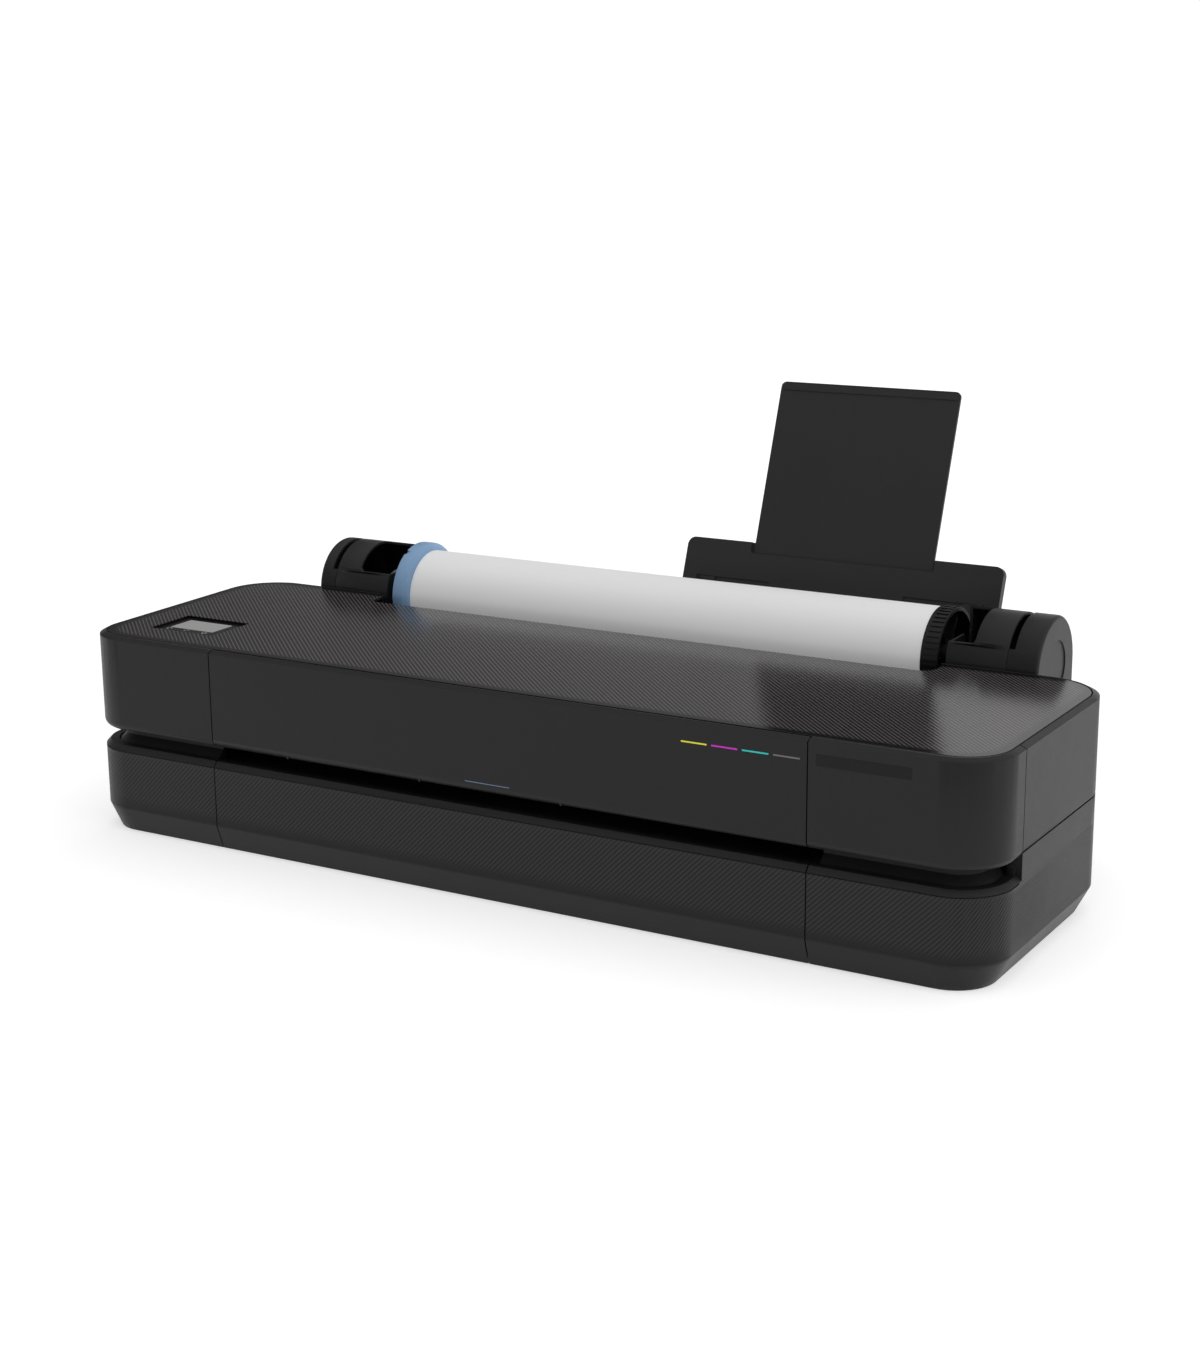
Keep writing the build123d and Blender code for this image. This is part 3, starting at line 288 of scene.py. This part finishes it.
def screen_glass():
    """Touch screen showing a plain pale page."""
    s = Shader("screen_page")
    x, y, z = s.axes
    rows = s.fade(s.sum("SINE", s.sum("MULTIPLY", y, 2 * math.pi / 0.011)), 0.2, 0.4)
    smudge = s.noise(60, 5, 0.65)
    tone = s.blend(s.sum("MULTIPLY", rows, 0.12), (0.33, 0.33, 0.325), (0.23, 0.24, 0.24))
    material = s.finish(tone, s.spread(smudge, 0.06, 0.2))
    s.surface.inputs["Emission Strength"].default_value = 0.25
    s.feed(s.surface.inputs["Emission Color"], tone)
    return material


# ---------------------------------------------------------------- materials for the frame's nodes
cover = moulded("cover_plastic", (0.0138, 0.0138, 0.0140), 0.40)
housing_plastic = moulded("housing_plastic", (0.021, 0.021, 0.0213), 0.42)
inner = moulded("inner_plastic", (0.005, 0.005, 0.005), 0.55, specular=0.12)
deck_plastic = moulded("deck_plastic", (0.016, 0.016, 0.0162), 0.45)
tray = moulded("tray_plastic", (0.029, 0.029, 0.0293), 0.42)
black = moulded("black_plastic", (0.014, 0.014, 0.014), 0.4)
key_plastic = moulded("key_plastic", (0.06, 0.06, 0.062), 0.38)
blue = moulded("blue_plastic", (0.27, 0.44, 0.67), 0.38, variation=0.05)
acetal = moulded("acetal", (0.30, 0.30, 0.29), 0.42, variation=0.06)
panel_black = moulded("panel_black", (0.010, 0.010, 0.011), 0.16, grain=0.00001, variation=0.05)
clear_film = moulded("clear_film", (0.35, 0.36, 0.36), 0.2, grain=0.00001)
motor_paint = moulded("motor_paint", (0.03, 0.03, 0.033), 0.35)
ink_shell = moulded("ink_shell", (0.022, 0.022, 0.022), 0.4)
rib_pitch = 5.0 * MM
rib_fade_z = (28.5 * MM, 42 * MM)  # the ribs fade in over these heights
ribbed = ribs_with_painted_crests()
hatched = hatched_top()
steel = metal("drawn_steel", (0.42, 0.42, 0.43), 0.32)
alloy = metal("turned_alloy", (0.62, 0.62, 0.64), 0.35)
sheet_steel = coated_sheet()
soft_rubber = rubber("soft_rubber")
belt_rubber = rubber("belt_rubber", (0.014, 0.014, 0.014))
paper = media_paper()
board = wound_board()

node_materials = {
    cover: ["lower_front_panel", "base_side_left", "base_side_right",
            "upper_corner_left", "upper_corner_right", "upper_side_left", "upper_side_right",
            "upper_rear_cover", "front_door", "rear_housing"],
    housing_plastic: ["spindle_housing_left", "spindle_housing_right",
                      "housing_cap_left", "housing_cap_right"],
    hatched: ["top_cover"],
    deck_plastic: ["output_deck"],
    inner: ["base_pan", "roll_trough", "rear_guide_panel", "power_inlet",
            "service_station", "platen", "cartridge_bay"],
    circuit(): ["main_board"],
    tray: ["sheet_tray", "tray_extension", "sheet_guide_left", "sheet_guide_right"],
    panel_black: ["display_panel"],
    key_plastic: ["power_button"],
    black: ["black_stop", "carriage"],
    blue: ["blue_stop"],
    acetal: ["spindle_gear", "spindle_pinion"],
    ink_shell: ["ink_cartridges"],
    clear_film: ["encoder_strip"],
    motor_paint: ["spindle_motor", "carriage_motor", "feed_motor"],
    steel: ["door_hinge_pins", "case_screws", "spindle_shaft", "carriage_rod", "printhead"],
    alloy: ["carriage_drive_pulley", "carriage_idler_pulley"],
    sheet_steel: ["power_supply", "side_plates", "chassis_beam", "belt_brackets", "roller_brackets"],
    soft_rubber: ["rubber_feet", "feed_roller", "exit_roller", "pinch_rollers"],
    belt_rubber: ["carriage_belt", "feed_belt"],
    paper: ["paper_roll"],
    board: ["paper_core"],
}
for material, names in node_materials.items():
    for name in names:
        slots = nodes_by_name[name].data.materials
        slots.clear()
        slots.append(material)


# ---------------------------------------------------------------- mesh pieces
def mesh_piece(name, vertices, faces, material, body, smooth=False):
    mesh = bpy.data.meshes.new(name)
    mesh.from_pydata([tuple(v) for v in vertices], [], faces)
    mesh.update()
    mesh.materials.append(material)
    for polygon in mesh.polygons:
        polygon.use_smooth = smooth
    piece = bpy.data.objects.new(name, mesh)
    bpy.context.scene.collection.objects.link(piece)
    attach(piece, body)
    return piece


def rounded_outline(width, height, radius, steps=6):
    """Corner points of a rounded rectangle about the origin, anticlockwise."""
    points = []
    for quarter, (sx, sy) in enumerate(((1, 1), (-1, 1), (-1, -1), (1, -1))):
        cx = sx * (width / 2 - radius)
        cy = sy * (height / 2 - radius)
        for step in range(steps + 1):
            angle = (quarter + step / steps) * math.pi / 2
            points.append((cx + radius * math.cos(angle), cy + radius * math.sin(angle)))
    return points


def plaque(name, centre, across, up, width, height, thickness, radius, material, body, edge=0.3):
    """Thin rounded plate lying on a face: a flat top with a bevelled edge all round."""
    out = across.cross(up).normalized()
    outer = rounded_outline(width, height, radius)
    inset = min(thickness * edge + 0.00005, radius * 0.6)
    inner_ring = rounded_outline(width - 2 * inset, height - 2 * inset, max(radius - inset, 0.00005))
    rings = [(outer, 0.0), (outer, thickness * (1 - edge)), (inner_ring, thickness)]
    vertices = []
    for ring, level in rings:
        vertices += [centre + across * a + up * b + out * level for a, b in ring]
    count = len(outer)
    faces = [tuple(2 * count + i for i in range(count))]
    for ring in range(2):
        for i in range(count):
            j = (i + 1) % count
            faces.append((ring * count + i, ring * count + j, (ring + 1) * count + j, (ring + 1) * count + i))
    return mesh_piece(name, vertices, faces, material, body)


RIGHT = Vector((1, 0, 0))
BACK = Vector((0, 1, 0))
UP = Vector((0, 0, 1))
face_lift = 0.12 * MM  # how far printed marks stand off their face

# ribbed bands of the lower cabinet, modelled rib by rib
front_corner = 52 * MM
rear_corner = 60 * MM
rib_depth = 0.36 * MM
rib_step = 0.8 * MM  # spacing of the band's mesh points
coarse_step = 6 * MM  # spacing where the ribs have faded out
fine_reach = 0.25  # how far past the corner the fine mesh goes
band_sink = 0.03 * MM  # keeps the band just behind the covers' face
rib_fade_run = (0.04, 0.20)  # the ribs fade out along the sides, past the corner
band_low_z = 28.1 * MM
band_high_z = lip_z - 6.4 * MM
band_seam_x = corner("lower_front_panel", True).x
half_width = cabinet_high.x
seam_middle = 334 * MM


def outline_point(run, side):
    """Point and outward normal on the lower cabinet's outline, a run away from its middle."""
    straight = half_width - front_corner
    quarter = math.pi / 2 * front_corner
    side_length = rear_y - front_y - front_corner - rear_corner
    rear_quarter = math.pi / 2 * rear_corner
    if run < straight:
        place, normal = (run, front_y), (0.0, -1.0)
    elif run < straight + quarter:
        angle = (run - straight) / front_corner
        normal = (math.sin(angle), -math.cos(angle))
        place = (straight + front_corner * normal[0], front_y + front_corner + front_corner * normal[1])
    elif run < straight + quarter + side_length:
        place = (half_width, front_y + front_corner + run - straight - quarter)
        normal = (1.0, 0.0)
    elif run < straight + quarter + side_length + rear_quarter:
        angle = (run - straight - quarter - side_length) / rear_corner
        normal = (math.cos(angle), math.sin(angle))
        centre = (half_width - rear_corner, rear_y - rear_corner)
        place = (centre[0] + rear_corner * normal[0], centre[1] + rear_corner * normal[1])
    else:
        left_over = run - straight - quarter - side_length - rear_quarter
        place, normal = (half_width - rear_corner - left_over, rear_y), (0.0, 1.0)
    return Vector((side * place[0], place[1], 0)), Vector((side * normal[0], normal[1], 0))


def smooth(value, start, end):
    t = min(1.0, max(0.0, (value - start) / (end - start)))
    return t * t * (3 - 2 * t)


def ribbed_band(name, start, end, side=1):
    """Skin over the lower cabinet's band, from one run to another, with slanting ribs."""
    fine_end = min(end, half_width + fine_reach)
    fine = round((fine_end - start) / rib_step)
    runs = [start + (fine_end - start) * i / fine for i in range(fine + 1)]
    if end > fine_end:
        coarse = round((end - fine_end) / coarse_step)
        runs += [fine_end + (end - fine_end) * i / coarse for i in range(1, coarse + 1)]
    rows = round((band_high_z - band_low_z) / rib_step)
    vertices = []
    for run in runs:
        place, normal = outline_point(abs(run), side if run >= 0 else -side)
        for row in range(rows + 1):
            z = band_low_z + (band_high_z - band_low_z) * row / rows
            fading = smooth(z, *rib_fade_z) * smooth(z, band_high_z - 1 * MM, band_high_z - 4 * MM)
            fading *= 1 - smooth(abs(run), half_width + rib_fade_run[0], half_width + rib_fade_run[1])
            phase = 2 * math.pi * (side * run - z) / rib_pitch
            hollow = 0.5 - 0.5 * math.sin(phase)
            level = -band_sink - rib_depth * fading * hollow
            vertices.append(place + normal * level + UP * z)
    faces = []
    for i in range(len(runs) - 1):
        for row in range(rows):
            a = i * (rows + 1) + row
            b = a + rows + 1
            faces.append((a, b, b + 1, a + 1) if side > 0 else (a, a + 1, b + 1, b))
    return mesh_piece(name, vertices, faces, ribbed, "cabinet", smooth=True)


outline_end = (2 * half_width - band_seam_x - front_corner - rear_corner + rear_y - front_y
               - front_corner - rear_corner + math.pi / 2 * (front_corner + rear_corner))
ribbed_band("ribbed_band_front", -band_seam_x, band_seam_x)
ribbed_band("ribbed_band_right", 2 * seam_middle - band_seam_x, outline_end, side=1)
ribbed_band("ribbed_band_left", 2 * seam_middle - band_seam_x, outline_end, side=-1)

# colour marks and the lift mark on the door
bar_z = 193.3 * MM
first_bar_x = 222 * MM
bar_spacing = 30.6 * MM
bar_length = 26 * MM
bar_height = 1.5 * MM
bar_colours = {
    "yellow": (0.75, 0.72, 0.045),
    "magenta": (0.60, 0.03, 0.55),
    "cyan": (0.03, 0.53, 0.50),
    "grey": (0.15, 0.15, 0.15),
}
for index, (name, colour) in enumerate(bar_colours.items()):
    centre = Vector((first_bar_x + index * bar_spacing, front_y, bar_z))
    ink = moulded(f"{name}_ink", colour, 0.4, grain=0.00001, variation=0.04)
    plaque(f"{name}_bar", centre, RIGHT, UP, bar_length, bar_height, face_lift, 0.2 * MM, ink, "door")
lift_ink = moulded("lift_mark_ink", (0.13, 0.20, 0.30), 0.4, grain=0.00001, variation=0.04)
plaque("lift_mark", Vector((0, front_y, 121.3 * MM)), RIGHT, UP, 50 * MM, 0.8 * MM, face_lift,
       0.1 * MM, lift_ink, "door")

# plain name plate on the right-hand corner cover
plate_finish = moulded("plate_finish", (0.004, 0.004, 0.0042), 0.3, grain=0.00001, variation=0.05)
plaque("name_plate", Vector((386.8 * MM, front_y, 194.5 * MM)), RIGHT, UP, 90 * MM, 11 * MM,
       face_lift, 1.5 * MM, plate_finish, "cabinet")

# touch screen and its three keys
page = screen_glass()
display_middle = (display_low + display_high) / 2
screen_centre = Vector((display_middle.x - 2.4 * MM, display_middle.y + 5.3 * MM, display_high.z))
plaque("screen_page", screen_centre, RIGHT, BACK, 56 * MM, 34 * MM, 0.3 * MM, 1.0 * MM, page, "cabinet")
key_ink = moulded("key_ink", (0.62, 0.62, 0.62), 0.35, grain=0.00001, variation=0.03)
key_y = display_low.y + 14.0 * MM


def ring_mark(name, centre, radius, width, start=0.0, sweep=2 * math.pi, steps=28):
    """Flat ring or arc printed on the panel."""
    vertices = []
    faces = []
    for step in range(steps + 1):
        angle = start + sweep * step / steps
        direction = RIGHT * math.cos(angle) + BACK * math.sin(angle)
        vertices.append(centre + direction * (radius - width / 2))
        vertices.append(centre + direction * (radius + width / 2))
    for step in range(steps):
        a = 2 * step
        faces.append((a, a + 1, a + 3, a + 2))
    return mesh_piece(name, vertices, faces, key_ink, "cabinet")


mark_z = display_high.z + 0.0001
for index, x in enumerate((-442, -419, -395)):
    centre = Vector((x * MM, key_y, mark_z))
    ring_mark(f"key_mark_{index}", centre, 2.6 * MM, 0.7 * MM,
              start=index * 0.6, sweep=(1.6, 1.2, 2.0)[index] * math.pi)

# ---------------------------------------------------------------- softened edges on the covers
softened = ["upper_corner_left", "upper_corner_right", "upper_side_left", "upper_side_right",
            "front_door", "lower_front_panel", "base_side_left", "base_side_right",
            "spindle_housing_left", "spindle_housing_right", "housing_cap_left", "housing_cap_right",
            "sheet_tray", "tray_extension", "blue_stop", "black_stop", "sheet_guide_left",
            "sheet_guide_right", "rear_housing"]
for name in softened:
    piece = nodes_by_name[name]
    weld = piece.modifiers.new("weld", "WELD")
    weld.merge_threshold = 0.00001
    bevel = piece.modifiers.new("soft_edges", "BEVEL")
    bevel.width = 0.0005
    bevel.segments = 2
    bevel.limit_method = "ANGLE"
    bevel.angle_limit = math.radians(28)
    bevel.harden_normals = True

# ---------------------------------------------------------------- stage
floor_half = 40.0


def build_floor():
    """Pale floor that runs up into a low bright wall far away on every side."""
    s = Shader("studio_floor")
    clouds = s.noise(0.6, 2)
    tone = s.blend(clouds, (0.87, 0.87, 0.87), (0.89, 0.89, 0.89))
    glow = {"Emission_Color": (1, 1, 1, 1), "Emission_Strength": 0.5}
    ground = s.finish(tone, 0.9, Specular_IOR_Level=0.1, **glow)
    lit = Shader("studio_wall")
    wall_glow = lit.spread(lit.noise(0.2, 2), 0.98, 1.02)
    wall_paint = lit.finish((0.0, 0.0, 0.0, 1.0), 1.0)
    lit.surface.inputs["Emission Color"].default_value = (1, 1, 1, 1)
    lit.feed(lit.surface.inputs["Emission Strength"], wall_glow)
    wall_height = 4.0
    corners = [(-1, -1), (1, -1), (1, 1), (-1, 1)]
    vertices = [(x * floor_half, y * floor_half, z) for z in (0, wall_height) for x, y in corners]
    walls = [(i, (i + 1) % 4, (i + 1) % 4 + 4, i + 4) for i in range(4)]
    mesh = bpy.data.meshes.new("floor")
    mesh.from_pydata(vertices, [], [(0, 1, 2, 3), *walls])
    mesh.materials.append(ground)
    mesh.materials.append(wall_paint)
    for wall in mesh.polygons[1:]:
        wall.material_index = 1
    floor = bpy.data.objects.new("floor", mesh)
    bpy.context.scene.collection.objects.link(floor)


build_floor()


def area_light(name, place, target, size, power, colour=(1, 1, 1)):
    data = bpy.data.lights.new(name, "AREA")
    data.shape = "RECTANGLE"
    data.size, data.size_y = size
    data.energy = power
    data.color = colour
    light = bpy.data.objects.new(name, data)
    bpy.context.scene.collection.objects.link(light)
    light.location = place
    light.rotation_euler = (Vector(target) - Vector(place)).to_track_quat("-Z", "Y").to_euler()
    return light


sun_data = bpy.data.lights.new("sky_sun", "SUN")
sun_data.energy = 0.95
sun_data.angle = math.radians(100)
sun = bpy.data.objects.new("sky_sun", sun_data)
sun.rotation_euler = (math.radians(6), math.radians(8), 0)
bpy.context.scene.collection.objects.link(sun)
area_light("right_key", (3.2, 0.2, 1.1), (0.3, 0.0, 0.1), (1.8, 1.6), 12)
area_light("back_panel", (-0.6, 4.5, 1.6), (0.3, 0.0, 0.2), (2.6, 1.8), 7)


def build_world():
    """Even grey surroundings, darker behind the object to the left, as the top cover mirrors them."""
    world = bpy.data.worlds.new("studio")
    bpy.context.scene.world = world
    world.use_nodes = True
    tree = world.node_tree

    def node(kind, **inputs):
        made = tree.nodes.new(kind)
        for key, value in inputs.items():
            made.inputs[key.replace("_", " ")].default_value = value
        return made

    direction = node("ShaderNodeSeparateXYZ")
    tree.links.new(tree.nodes.new("ShaderNodeTexCoord").outputs["Generated"], direction.inputs[0])
    behind = node("ShaderNodeMapRange", From_Min=0.2, From_Max=0.6)
    tree.links.new(direction.outputs["Y"], behind.inputs["Value"])
    across = node("ShaderNodeMapRange", From_Min=-0.72, From_Max=-0.25, To_Min=0.05, To_Max=0.52)
    tree.links.new(direction.outputs["X"], across.inputs["Value"])
    strength = tree.nodes.new("ShaderNodeMix")
    strength.inputs["A"].default_value = 0.35
    tree.links.new(behind.outputs[0], strength.inputs["Factor"])
    tree.links.new(across.outputs[0], strength.inputs["B"])
    background = tree.nodes["Background"]
    background.inputs["Color"].default_value = (1, 1, 1, 1)
    tree.links.new(strength.outputs["Result"], background.inputs["Strength"])


build_world()
bpy.context.scene.view_settings.view_transform = "Standard"

# ---------------------------------------------------------------- camera
camera_place = Vector((1.18610, -2.07794, 0.79034))
camera_forward = Vector((-0.51307, 0.81774, -0.26086)).normalized()
camera_roll = -0.017
level_right = camera_forward.cross(UP).normalized()
level_up = level_right.cross(camera_forward)
right = level_right * math.cos(camera_roll) + level_up * math.sin(camera_roll)
upward = level_up * math.cos(camera_roll) - level_right * math.sin(camera_roll)
camera_data = bpy.data.cameras.new("photo_camera")
camera_data.lens = 62.595
camera_data.sensor_width = 36.0
camera_data.sensor_fit = "AUTO"
camera_data.shift_x = 0.0538
camera_data.shift_y = 0.0100
camera_data.clip_end = 200
camera = bpy.data.objects.new("photo_camera", camera_data)
bpy.context.scene.collection.objects.link(camera)
camera.matrix_world = Matrix.Translation(camera_place) @ Matrix(
    (right, upward, -camera_forward)).transposed().to_4x4()
bpy.context.scene.camera = camera
